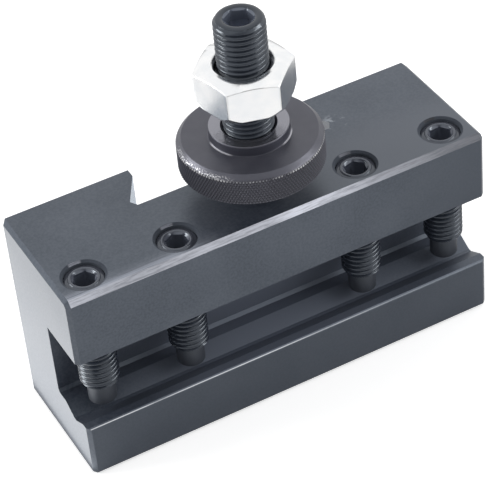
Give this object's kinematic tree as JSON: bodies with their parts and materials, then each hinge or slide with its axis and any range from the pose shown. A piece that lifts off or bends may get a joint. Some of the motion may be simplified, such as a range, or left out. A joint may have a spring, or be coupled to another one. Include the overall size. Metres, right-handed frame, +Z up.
{
  "type": "quick change tool holder",
  "caption": "Dovetail tool holder block for a lathe tool post, with a V-grooved tool slot, clamp screws, a height stud, a knurled stop nut and a hexagon lock nut.",
  "frame": {"origin": "middle of the block's underside", "axes": "+X along the block (the tool slot's direction), -Y towards the tool slot, +Y towards the dovetail, +Z up along the height stud"},
  "size_m": [0.0888, 0.0322, 0.0828],
  "materials": {
    "oxide_block": "satin black oxide over ground steel",
    "oxide_screw": "oiled black oxide",
    "oxide_knurl": "matt black oxide",
    "zinc_nut": "bright zinc plate"
  },
  "bodies": {
    "holder": {"holder_body": "oxide_block", "height_stud": "oxide_screw"},
    "clamp_1": {"clamp_screw_1": "oxide_screw"},
    "clamp_2": {"clamp_screw_2": "oxide_screw"},
    "clamp_3": {"clamp_screw_3": "oxide_screw"},
    "clamp_4": {"clamp_screw_4": "oxide_screw"},
    "thumb": {"knurled_nut": "oxide_knurl"},
    "lock": {"lock_nut": "zinc_nut"}
  },
  "joints": [
    {"name": "clamp_screw_1_travel", "type": "slide", "parent": "holder", "child": "clamp_1", "axis": [0, 0, 1], "range_m": [-0.0018, 0.0155]},
    {"name": "clamp_screw_2_travel", "type": "slide", "parent": "holder", "child": "clamp_2", "axis": [0, 0, 1], "range_m": [-0.0018, 0.0155]},
    {"name": "clamp_screw_3_travel", "type": "slide", "parent": "holder", "child": "clamp_3", "axis": [0, 0, 1], "range_m": [-0.0018, 0.0155]},
    {"name": "clamp_screw_4_travel", "type": "slide", "parent": "holder", "child": "clamp_4", "axis": [0, 0, 1], "range_m": [-0.0018, 0.0155]},
    {"name": "knurled_nut_travel", "type": "slide", "parent": "holder", "child": "thumb", "axis": [0, 0, 1], "range_m": [-0.0066, 0.0062]},
    {"name": "lock_nut_travel", "type": "slide", "parent": "holder", "child": "lock", "axis": [0, 0, 1], "range_m": [-0.0062, 0.0095]}
  ]
}
